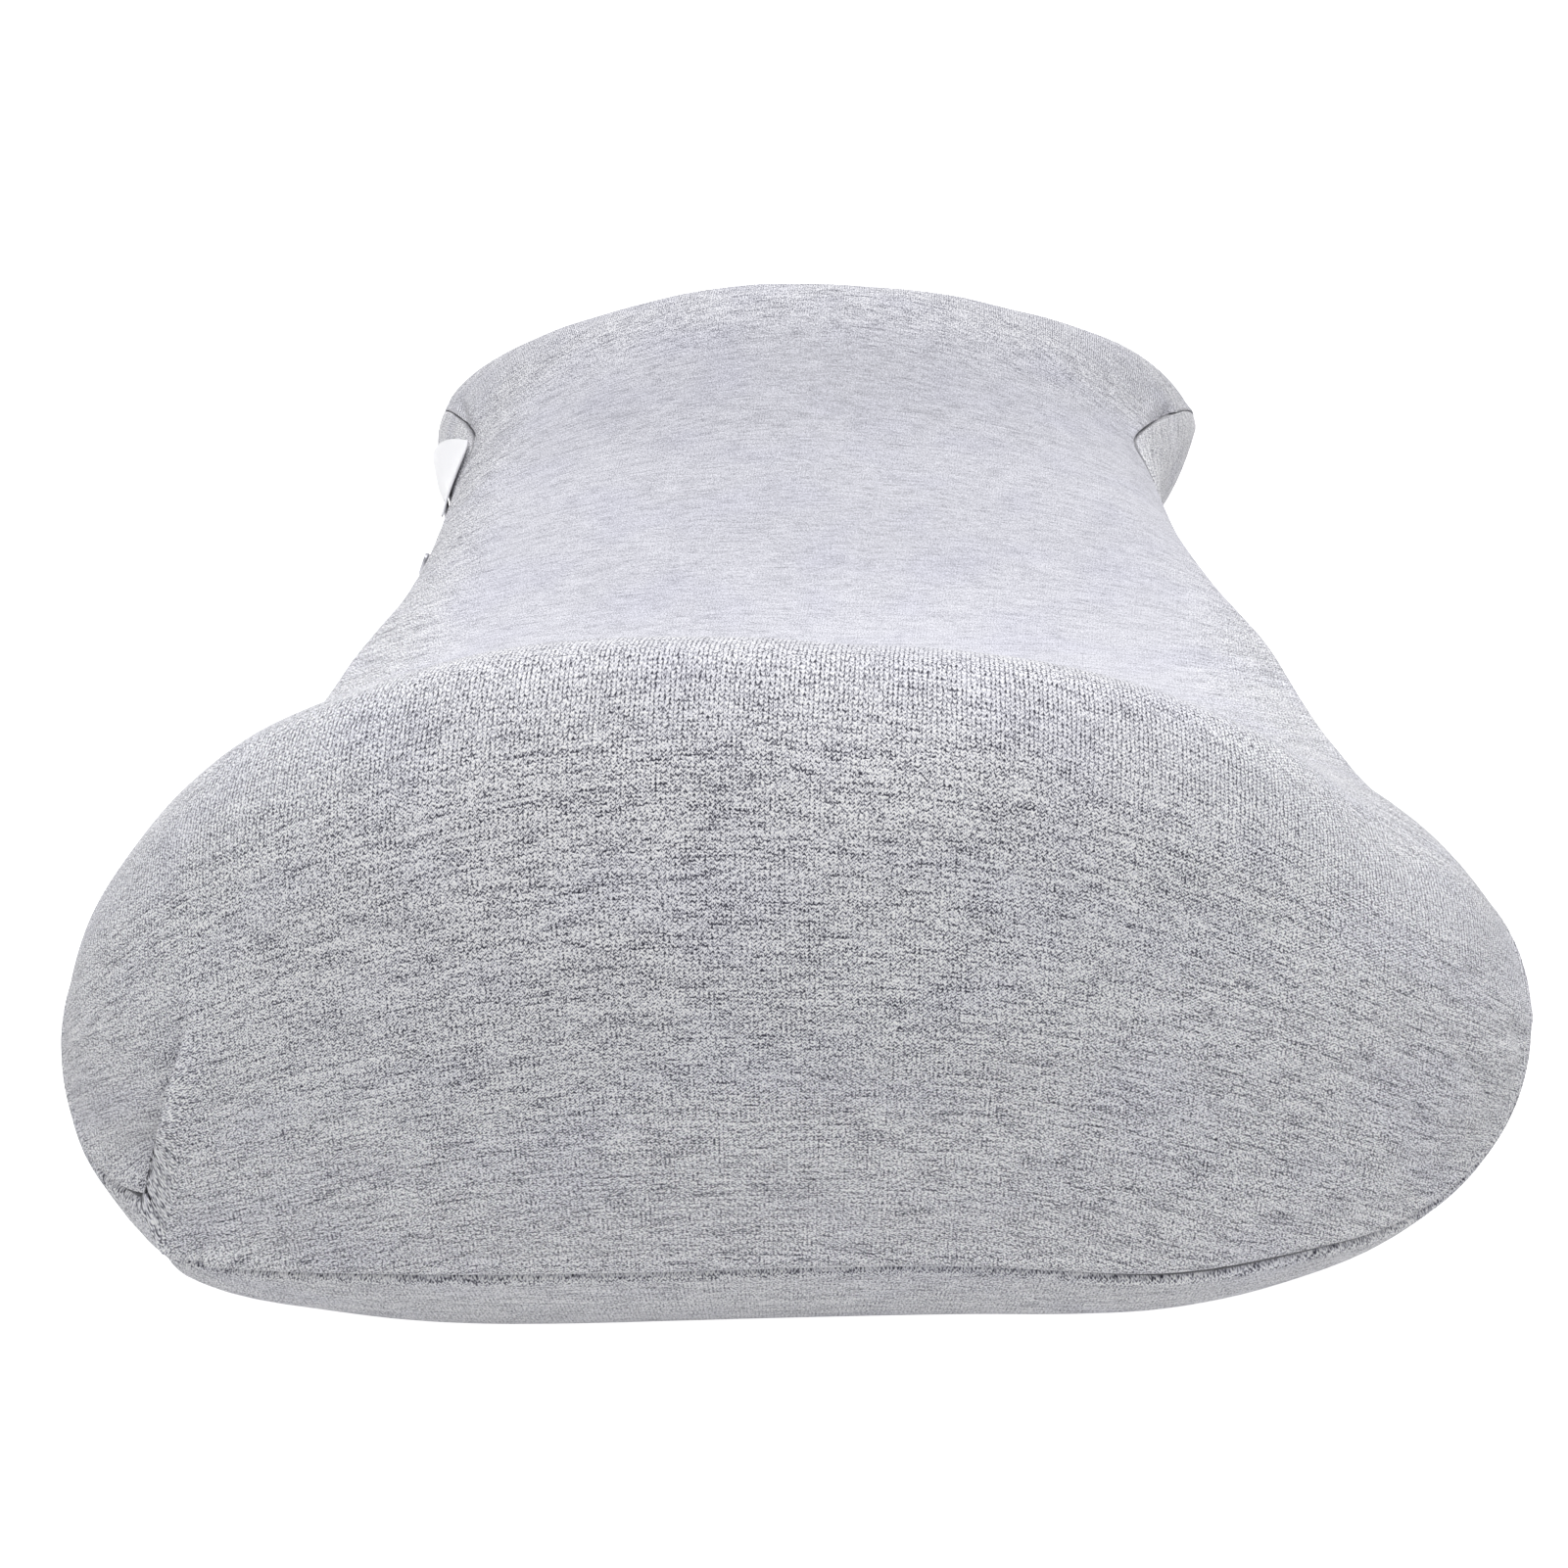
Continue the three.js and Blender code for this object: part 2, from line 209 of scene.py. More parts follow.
# The flat patterns are smooth functions of the place in this box. Only every so many rows and columns of a
# panel's grid take part in the fit.
PATTERN_FIT = {"degree": 7, "calm": 1e-4, "middle": (0.0, 0.0, 65.0), "half": (160.0, 175.0, 80.0),
               "crown_step": (5, 5), "base_step": (1, 8)}


# ---- Shape of the pillow ---------------------------------------------------------------------------

def ease(t):
    return 0.5 - 0.5 * np.cos(np.pi * np.clip(t, 0, 1))


def blend(a, b, t):
    return a + (b - a) * t


def bell(distance, width):
    return np.exp(-(distance / width) ** 2)


def along_stations(rows, column, y):
    """A smooth curve through one column of a table of stations, level at both ends."""
    at = np.array([row["at"] for row in rows], float)
    value = np.array([row[column] for row in rows], float)
    slope = np.zeros(len(at))
    slope[1:-1] = (value[2:] - value[:-2]) / (at[2:] - at[:-2])
    y = np.clip(y, at[0], at[-1])
    i = np.clip(np.searchsorted(at, y, side="right") - 1, 0, len(at) - 2)
    span = at[i + 1] - at[i]
    t = (y - at[i]) / span
    start = value[i] * (1 + 2 * t) * (1 - t) ** 2 + slope[i] * span * t * (1 - t) ** 2
    end = value[i + 1] * t * t * (3 - 2 * t) + slope[i + 1] * span * t * t * (t - 1)
    return start + end


def half_width_at(y):
    return along_stations(WAIST_STATIONS, "half_width", y)


def set_at(y):
    return along_stations(WAIST_STATIONS, "set", y)


def girth_height(y):
    share = np.abs(y) / HALF_LENGTH
    side = blend(GIRTH["waist"], GIRTH["wing"], ease(share / GIRTH_RISE["waist_to_wing"]))
    rise = GIRTH_RISE["wing_to_end"]
    return blend(side, GIRTH["end"], ease((share - 1 + rise) / rise))


def end_fall(y):
    """Share of a crest's height over the girth that is left at a station: all of it between the crests."""
    crest = np.where(y < 0, -RIDGE_STATIONS[0]["at"], RIDGE_STATIONS[-1]["at"])
    past = np.clip((np.abs(y) - crest) / (HALF_LENGTH - crest), 0, 1)
    return (1 - past ** END_FALL["along"]) ** (1 / END_FALL["drop"])


def ridge_height(y):
    near, far = RIDGE_STATIONS[0], RIDGE_STATIONS[-1]
    crest = np.where(y < 0, near["height"], far["height"])
    between = (y > near["at"]) & (y < far["at"])
    beyond = blend(GIRTH["end"], crest, end_fall(y))
    return np.where(between, along_stations(RIDGE_STATIONS, "height", y), beyond)


def crown_height(x, y):
    wing = np.minimum(np.abs(y) / WING_REACH, 1)
    lean = np.where(y < 0, WING_TILT["near"], WING_TILT["far"]) * wing ** 2 * end_fall(y)
    corner = (1 - np.minimum(np.abs(y) / HALF_LENGTH, 1) ** PLAN_SQUARENESS) ** (1 / PLAN_SQUARENESS)
    share = np.minimum(np.abs(x) / np.maximum(half_width_at(y) * corner, 1e-6), 1)
    across = blend(CROSS_FALL["waist"]["across"], CROSS_FALL["wing"]["across"], ease(wing))
    drop = blend(CROSS_FALL["waist"]["drop"], CROSS_FALL["wing"]["drop"], ease(wing))
    fall = (1 - share ** across) ** (1 / drop)
    girth = girth_height(y)
    return girth + (ridge_height(y) + lean * x - girth) * fall


def to_plan(s, t):
    """Moves a point of the square into the squared-off oval of the plan, edge onto edge."""
    reach = np.maximum(np.abs(s), np.abs(t))
    norm = (np.abs(s) ** PLAN_SQUARENESS + np.abs(t) ** PLAN_SQUARENESS) ** (1 / PLAN_SQUARENESS)
    scale = np.where(norm > 0, reach / np.maximum(norm, 1e-9), 1)
    return s * scale, t * scale


def upper(a, b, reach):
    """A point of the upper side on the line from the middle to the outline's point (a, b)."""
    y_edge = b * HALF_LENGTH
    x = a * half_width_at(y_edge) * reach
    y = y_edge * reach
    return np.stack([x + set_at(y), y, crown_height(x, y)], -1)


def seam_reach(a, b, below=0.0):
    """The reach at which the upper side passes the seam, or a height below it."""
    y_edge = b * HALF_LENGTH
    goal = girth_height(y_edge) + along_stations(SEAM_LIFT, "lift", y_edge) - below
    low, high = np.full(a.shape, 0.8), np.ones(a.shape)
    for _ in range(34):
        middle = (low + high) / 2
        above = upper(a, b, middle)[..., 2] > goal
        low, high = np.where(above, middle, low), np.where(above, high, middle)
    return (low + high) / 2


def outward_at(a, b):
    """Outward direction of the outline, on the level."""
    step = 1e-4
    angle = np.arctan2(b, a)

    def point(angle):
        c, s = np.cos(angle), np.sin(angle)
        radius = (np.abs(c) ** PLAN_SQUARENESS + np.abs(s) ** PLAN_SQUARENESS) ** (-1 / PLAN_SQUARENESS)
        y = radius * s * HALF_LENGTH
        return radius * c * half_width_at(y) + set_at(y), y

    (x0, y0), (x1, y1) = point(angle - step), point(angle + step)
    normal = np.stack([y1 - y0, x0 - x1, np.zeros_like(x0)], -1)
    return normal / np.maximum(np.linalg.norm(normal, axis=-1, keepdims=True), 1e-12)


def underside(a, b, turn, depth):
    """A point between the girth (turn 0) and the resting surface (a quarter turn), moved in by a depth."""
    y_edge = b * HALF_LENGTH
    tuck = 1 - np.abs(np.cos(turn)) ** TUCK["fullness"]
    y = y_edge * (1 - TUCK["end"] * tuck)
    x = a * half_width_at(y_edge) * (1 - TUCK["side"] * tuck) + set_at(y)
    z = depth + (girth_height(y_edge) - depth) * (1 - np.sin(turn))
    return np.stack([x, y, z + 0 * x], -1) - outward_at(a, b) * depth


def brim(a, b, share, depth):
    """A point from the girth (share 0) to just under the seam (share 1), moved in from the side."""
    reach = blend(1.0, seam_reach(a, b, RIM_DROP), share)
    return upper(a, b, reach) - outward_at(a, b) * depth


def pushed(points):
    """The points after the soft pushes, which fade out at the resting surface."""
    lift = np.clip(points[..., 2] / RESTING_FADE, 0, 1)[..., None]
    moved = points.copy()
    for push in PUSHES:
        offset = points - np.array(push["at"], float)
        share = bell(np.linalg.norm(offset, axis=-1), push["reach"])
        if "side" in push:
            share = share * ease(offset @ np.array(push["side"]) / PUSH_SIDE_EDGE + 0.5)
        moved += share[..., None] * np.array(push["push"], float) * lift
    return moved


def unevenness(points):
    """Height of the slow waves in the stuffing at each point."""
    draw = np.random.RandomState(23)
    height = np.zeros(points.shape[:-1])
    for wave in UNEVEN:
        for _ in range(4):
            direction = draw.normal(size=3)
            direction /= np.linalg.norm(direction)
            turn = points @ direction / wave["length"] * 2 * np.pi + draw.uniform(0, 2 * np.pi)
            height += wave["height"] / 2 * np.sin(turn)
    return height


def edge_offset(distance, edge):
    swell = edge["swell"] * bell(distance - edge["swell_at"], edge["swell_width"])
    return swell - edge["tuck"] * np.exp(-distance / edge["tuck_reach"])


def seam_depth(points):
    """Share of the seam's swell and tuck that is left at each point."""
    far = (points[..., 1] - FLAT_SEAM["from"]) / (FLAT_SEAM["to"] - FLAT_SEAM["from"])
    return 1 - FLAT_SEAM["share"] * ease(far)


def square_grid(columns, rows, crowding):
    """Grid of s (across) and t (along) from -1 to 1, closer together toward the edges."""
    def line(count):
        even = np.linspace(-1, 1, count + 1)
        return blend(even, np.sin(QUARTER_TURN * even), crowding)
    return np.meshgrid(line(columns), line(rows))


def surface_normals(points):
    """Normals of a grid of points, by central differences."""
    normal = np.cross(np.gradient(points, axis=1), np.gradient(points, axis=0))
    return normal / np.maximum(np.linalg.norm(normal, axis=-1, keepdims=True), 1e-12)


def grid_on_unit(s, t):
    """Each grid point's own point of the outline, and its share of the way there."""
    share = np.maximum(np.maximum(np.abs(s), np.abs(t)), 1e-9)
    a, b = to_plan(s / share, t / share)
    return a, b, share


# ---- Folds -----------------------------------------------------------------------------------------

def walk(path, count=60):
    """Evenly numbered places along a smooth line through the path's points, and its directions."""
    path = np.array(path, float)
    knots = np.arange(len(path), dtype=float)
    t = np.linspace(0, len(path) - 1, count)
    slope = np.gradient(path, axis=0)
    i = np.clip(t.astype(int), 0, len(path) - 2)
    f = (t - knots[i])[:, None]
    place = (path[i] * (1 + 2 * f) * (1 - f) ** 2 + slope[i] * f * (1 - f) ** 2
             + path[i + 1] * f * f * (3 - 2 * f) + slope[i + 1] * f * f * (f - 1))
    direction = np.gradient(place, axis=0)
    return place, direction / np.linalg.norm(direction, axis=1, keepdims=True)


def beside(points, normals, path, reach):
    """Which points lie within reach of a line, how far along it and to its left they are, and the left."""
    place, direction = walk(path)
    low, high = place.min(0) - reach, place.max(0) + reach
    near = np.all((points > low) & (points < high), axis=-1)
    p, n = points[near], normals[near]
    nearest = np.linalg.norm(p[:, None] - place[None], axis=-1).argmin(1)
    left = np.cross(n, direction[nearest])
    left /= np.maximum(np.linalg.norm(left, axis=1, keepdims=True), 1e-9)
    offset = p - place[nearest]
    along = nearest / (len(place) - 1)
    past = np.abs(np.einsum("ij,ij->i", offset, direction[nearest]))
    return near, along, np.einsum("ij,ij->i", offset, left), past, left


def envelope(along, fade, past):
    """Strength of a fold along its line: it fades in and out and rounds off past the ends."""
    start, end = fade
    grown = ease(along / start) if start else 1
    left_over = ease((1 - along) / end) if end else 1
    return grown * left_over * bell(past, FOLD_FORM["rounding"])


def fold_moves(points, normals):
    """How far the folds and puckers move each point."""
    moves = np.zeros_like(points)
    for fold in FOLDS:
        near, along, side, past, left = beside(points, normals, fold["path"], 3 * fold["width"])
        strength = envelope(along, fold["fade"], past)
        over = fold["rise"] * np.exp(-np.abs(side) / fold["width"])
        under = -fold["drop"] * np.exp(-np.abs(side) / (FOLD_FORM["under"] * fold["width"]))
        height = blend(under, over, ease(side / FOLD_FORM["edge"] + 0.5))
        lap = -fold["lap"] * bell(side, FOLD_FORM["lap_reach"]) * (side > FOLD_FORM["lap_from"])
        moves[near] += (strength * height)[:, None] * normals[near] + (strength * lap)[:, None] * left
    for pucker in PUCKERS:
        near, along, side, past, _ = beside(points, normals, pucker["path"], 4 * pucker["width"])
        strength = envelope(along, pucker["fade"], past)
        width = pucker["width"]
        ridges = bell(np.abs(side) - PUCKER_FORM["ridge_at"] * width, width)
        trough = bell(side, PUCKER_FORM["trough"] * width)
        height = pucker["depth"] * (PUCKER_FORM["ridge"] * ridges - trough)
        moves[near] += (strength * height)[:, None] * normals[near]
    return moves


# ---- Flat patterns ---------------------------------------------------------------------------------

def turned(vector, start, end):
    """The vector after the smallest turn that brings one direction onto another."""
    axis = np.cross(start, end)
    cosine = np.sum(start * end, axis=-1, keepdims=True)
    along_axis = np.sum(axis * vector, axis=-1, keepdims=True)
    result = cosine * vector + np.cross(axis, vector) + axis * along_axis / np.maximum(1 + cosine, 0.05)
    return result / np.linalg.norm(result, axis=-1, keepdims=True)


def knit_directions(points, normals):
    """The directions along the courses and up the wales, as the cloth lies on the crown."""
    x, y = points[..., 0], points[..., 1]
    step = 0.5
    middle = np.clip(y, -HALF_LENGTH + 1, HALF_LENGTH - 1)
    rise = (ridge_height(middle + step) - ridge_height(middle - step)) / (2 * step)
    climb = np.arctan(rise)
    sideways = np.stack([np.ones_like(x), 0 * x, 0 * x], -1)
    uphill = np.stack([0 * x, np.cos(climb), np.sin(climb)], -1)
    facing = np.cross(sideways, uphill)
    bow = COURSE_BOW * x + along_stations(KNIT_STATIONS, "lean", y)
    slant = along_stations(KNIT_STATIONS, "slant", y)
    course = sideways - bow[..., None] * uphill
    wale = uphill + slant[..., None] * sideways
    return turned(course, facing, normals), turned(wale, facing, normals)


def curled_directions(points, normals):
    """The knit's directions where a flat cloth that faces down curls up round the pillow."""
    down = np.array([0, 0, -1.0])
    return turned(np.array([1.0, 0, 0]), down, normals), turned(np.array([0, 1.0, 0]), down, normals)


def space_terms(points):
    """Smooth functions of the place in space, products of Chebyshev terms, and their slopes."""
    degree = PATTERN_FIT["degree"]
    middle, half = np.array(PATTERN_FIT["middle"]), np.array(PATTERN_FIT["half"])
    place = (points - middle) / half
    terms = np.polynomial.chebyshev.chebvander(place, degree)
    slopes = np.zeros_like(terms)
    for k in range(1, degree + 1):
        slopes[..., k] = np.polynomial.chebyshev.Chebyshev.basis(k).deriv()(place)
    slopes /= half[:, None]
    orders = range(degree + 1)
    i, j, k = np.array([(i, j, k) for i in orders for j in orders for k in orders if i + j + k <= degree]).T
    x, y, z = terms[..., 0, i], terms[..., 1, j], terms[..., 2, k]
    along_x = slopes[..., 0, i] * y * z
    along_y = x * slopes[..., 1, j] * z
    along_z = x * y * slopes[..., 2, k]
    return x * y * z, np.stack([along_x, along_y, along_z], -2)


def flat_pattern(points, directions, step):
    """Place of each point of a grid on its panel's flat pattern, in millimetres.

    The pattern is the smooth one whose first number grows evenly along the courses and whose second
    grows evenly up the wales, as nearly as the curved cloth allows: a least-squares fit.
    """
    grid = points[::step[0], ::step[1]]
    normal = np.cross(np.gradient(grid, axis=1), np.gradient(grid, axis=0))
    area = np.linalg.norm(normal, axis=-1)
    normal /= np.maximum(area, 1e-12)[..., None]
    course, wale = directions(grid, normal)
    inner = (slice(1, -1), slice(1, -1))
    _, slopes = space_terms(grid[inner])
    weight = np.sqrt(area[inner])[..., None]
    growth = [np.einsum("ijkn,ijk->ijn", slopes, way[inner]) * weight for way in (course, wale)]
    system = np.concatenate([part.reshape(-1, slopes.shape[-1]) for part in growth])
    even, none = weight.ravel(), np.zeros(weight.size)
    terms, _ = space_terms(points)
    pattern = []
    for goal in ([even, none], [none, even]):
        fit = np.linalg.lstsq(system, np.concatenate(goal), rcond=PATTERN_FIT["calm"])[0]
        pattern.append(terms @ fit)
    return np.stack(pattern, -1)


def pattern_uv(pattern, middle=(0.5, 0.5)):
    return pattern.reshape(-1, 2) / PANEL_SPAN + middle


def hidden_uv(points):
    """A small place in the pattern's corner for the faces inside the pillow, which nobody sees."""
    return points[:, :2] / PANEL_SPAN * 0.2 + 0.1


# ---- Meshes ----------------------------------------------------------------------------------------

def grid_numbers(rows, columns, first=0):
    return first + np.arange((rows + 1) * (columns + 1)).reshape(rows + 1, columns + 1)


def grid_faces(rows, columns, first=0, flip=False):
    index = grid_numbers(rows, columns, first)
    quads = np.stack([index[:-1, :-1], index[:-1, 1:], index[1:, 1:], index[1:, :-1]], -1).reshape(-1, 4)
    return quads[:, ::-1] if flip else quads


def rim_of(index):
    """The rim of a grid of vertex numbers, once round, anticlockwise from above."""
    return np.concatenate([index[0, :-1], index[:-1, -1], index[-1, :0:-1], index[:0:-1, 0]])


def bridge(rim_a, rim_b):
    """Quads between two rims of equal count."""
    return np.stack([rim_a, rim_b, np.roll(rim_b, -1), np.roll(rim_a, -1)], -1)


def fan(ring, centre):
    """Triangles from a ring of vertices to its middle."""
    return [[int(a), centre, int(b)] for a, b in zip(ring, np.roll(ring, -1))]


def mesh_object(name, vertices, faces, uv=None):
    """A mesh from points in millimetres, its faces all pointing out, with its flat pattern."""
    mesh = bpy.data.meshes.new(name)
    mesh.from_pydata((vertices * MM).tolist(), [], faces)
    mesh.update()
    if uv is not None:
        layer = mesh.uv_layers.new(name="OFBake")
        corner_vertex = np.zeros(len(mesh.loops), int)
        mesh.loops.foreach_get("vertex_index", corner_vertex)
        layer.data.foreach_set("uv", uv[corner_vertex].astype(np.float32).ravel())
    bm = bmesh.new()
    bm.from_mesh(mesh)
    bmesh.ops.recalc_face_normals(bm, faces=bm.faces)
    bm.to_mesh(mesh)
    bm.free()
    mesh.shade_smooth()
    piece = bpy.data.objects.new(name, mesh)
    bpy.context.scene.collection.objects.link(piece)
    return piece


# ---- Materials -------------------------------------------------------------------------------------

class Value:
    """A shader socket in arithmetic: an expression on values adds its Math nodes."""

    def __init__(self, shader, socket):
        self.shader = shader
        self.socket = socket

    def _math(self, operation, *others, clamp=False):
        inputs = dict(enumerate([self, *others]))
        node = self.shader.node("ShaderNodeMath", {"operation": operation, "use_clamp": clamp}, inputs)
        return node.value()

    def __add__(self, other):
        return self._math("ADD", other)

    def __sub__(self, other):
        return self._math("SUBTRACT", other)

    def __mul__(self, other):
        return self._math("MULTIPLY", other)

    def __truediv__(self, other):
        return self._math("DIVIDE", other)

    def __radd__(self, other):
        return self + other

    def __rmul__(self, other):
        return self * other

    def __rsub__(self, other):
        return self.shader.constant(other)._math("SUBTRACT", self)

    def fraction(self):
        return self._math("FRACT")

    def floor(self):
        return self._math("FLOOR")

    def absolute(self):
        return self._math("ABSOLUTE")

    def sine(self):
        return self._math("SINE")

    def power(self, exponent):
        return self._math("POWER", exponent)

    def clamped(self):
        return self._math("MULTIPLY", 1.0, clamp=True)


class Made:
    """A node with its outputs as values."""

    def __init__(self, shader, node):
        self.shader = shader
        self.node = node

    def value(self, output=0):
        return Value(self.shader, self.node.outputs[output])


class Shader:
    """The node tree of a material or of the world round the stage."""

    def __init__(self, owner):
        owner.use_nodes = True
        self.owner = owner
        self.tree = owner.node_tree
        self.tree.nodes.clear()

    def node(self, kind, settings=None, inputs=None):
        node = self.tree.nodes.new(kind)
        for key, setting in (settings or {}).items():
            setattr(node, key, setting)
        for key, given in (inputs or {}).items():
            self.feed(node.inputs[key], given)
        return Made(self, node)

    def feed(self, socket, given):
        if isinstance(given, Value):
            self.tree.links.new(given.socket, socket)
        elif isinstance(given, Made):
            self.tree.links.new(given.node.outputs[0], socket)
        else:
            socket.default_value = given

    def constant(self, number):
        made = self.node("ShaderNodeValue")
        made.node.outputs[0].default_value = number
        return made.value()

    def vector(self, x, y, z=0.0):
        return self.node("ShaderNodeCombineXYZ", {}, {"X": x, "Y": y, "Z": z}).value()

    def noise(self, place, detail=1.0, roughness=0.5, scale=1.0, dimensions="2D"):
        inputs = {"Vector": place, "Scale": scale, "Detail": detail, "Roughness": roughness}
        return self.node("ShaderNodeTexNoise", {"noise_dimensions": dimensions}, inputs).value(0)

    def white_noise(self, place):
        return self.node("ShaderNodeTexWhiteNoise", {"noise_dimensions": "2D"}, {"Vector": place}).value(0)

    def step(self, value, low, high):
        """Nought below low, one above high, smooth between."""
        settings = {"interpolation_type": "SMOOTHSTEP"}
        inputs = {"Value": value, "From Min": low, "From Max": high}
        return self.node("ShaderNodeMapRange", settings, inputs).value()

    def ramp(self, factor, stops):
        made = self.node("ShaderNodeValToRGB", {}, {"Fac": factor})
        elements = made.node.color_ramp.elements
        while len(elements) < len(stops):
            elements.new(0.5)
        for element, (at, color) in zip(elements, stops):
            element.position = at
            element.color = color
        return made.value()

    def mix(self, factor, a, b, blend_type="MIX"):
        settings = {"data_type": "RGBA", "blend_type": blend_type}
        made = self.node("ShaderNodeMix", settings, {"Factor": factor, 6: a, 7: b})
        return made.value(2)

    def flat_place(self):
        """The place on the piece's flat pattern, across and along, in millimetres."""
        place = self.node("ShaderNodeUVMap", {"uv_map": "OFBake"})
        split = self.node("ShaderNodeSeparateXYZ", {}, {0: place})
        return split.value(0) * PANEL_SPAN, split.value(1) * PANEL_SPAN

    def finish(self, surface, output="ShaderNodeOutputMaterial"):
        self.node(output, {}, {"Surface": surface})
        return self.owner


def new_material(name):
    return Shader(bpy.data.materials.new(name))


def rgb(red, green, blue):
    """A colour as it looks on a screen, 0 to 255, in the linear numbers that a shader takes."""
    def linear(c):
        c /= 255
        return c / 12.92 if c <= 0.04045 else ((c + 0.055) / 1.055) ** 2.4
    return (linear(red), linear(green), linear(blue), 1.0)


# The tones from dark to pale, the melange yarn's own and the painted shade and light of the knit, and the
# lilac cast of some patches.
YARN_AND_SHADE_TONES = [
    (0.0, rgb(64, 64, 74)),
    (0.25, rgb(135, 135, 144)),
    (0.5, rgb(196, 196, 204)),
    (0.75, rgb(236, 236, 243)),
    (1.0, rgb(255, 255, 255)),
]
LILAC = rgb(238, 238, 248)

# How far the yarn wanders in its stitch, and how deep the V of a stitch is, in shares of a wale or course.
STITCH = {"wander_size": 1.1, "wale_wander": 0.8, "course_wander": 0.9, "row_wander": 0.2, "v_depth": 0.8,
          "leg_power": 1.2, "leg_from": 0.14, "leg_contrast": 0.45}

# Sizes of the yarn's mottle on the flat cloth, across and along, in millimetres.
MOTTLE = {"grain": (0.43, 0.40), "marl": (1.2, 0.45), "streak": 6.0, "long_streak": 15.0,
          "patch": (14.0, 4.0), "cast": (26.0, 15.0)}

# How much each part of the knit and the mottle changes the yarn's tone: the stitch and rib parts are
# painted light and shade of the knit's relief, the rest is the melange's own tone.
TONE = {"plain": 0.55, "stitch": 0.9, "rib": 0.1, "crest_rib": 0.65, "fleck": 0.15, "grain": 2.1,
        "marl": 0.6, "streak": 1.3, "long_streak": 0.5, "patch": 0.05, "dark_streak": 0.3,
        "dark_from": 0.62, "dark_to": 0.76, "slack_melange": 0.07, "tight_melange": 0.75, "cast": 0.3}
STITCH_MEAN = 0.43
RIB_MEAN = 0.75
RELIEF = {"stitch": 0.4, "rib": 0.4, "grain": 2.0, "depth": 0.1}

# Painted light and shade on the crown's cloth. Between the crests, where the cloth faces the overhead lamp,
# the painted shade of the stitches and ribs, the melange's streaks and the bump are weaker; over the ends
# and the sides, which face away from the lamp, they are at full strength and the tone is painted a little
# darker, as painted shade.
# The far wing's tone is painted darker too, as painted shade. Its ribs show over the crests. Distances are
# on the flat pattern from its middle.
CROWN_SHADING = {"slack": 95.0, "tight": 135.0, "left": 0.26, "tight_shade": 0.035,
         "far_foot": 25.0, "far_wing": 105.0, "far_shade": 0.075,
         "crest": 134.0, "crest_width": 15.0, "crest_calm": 0.4, "crest_melange_calm": 0.5}


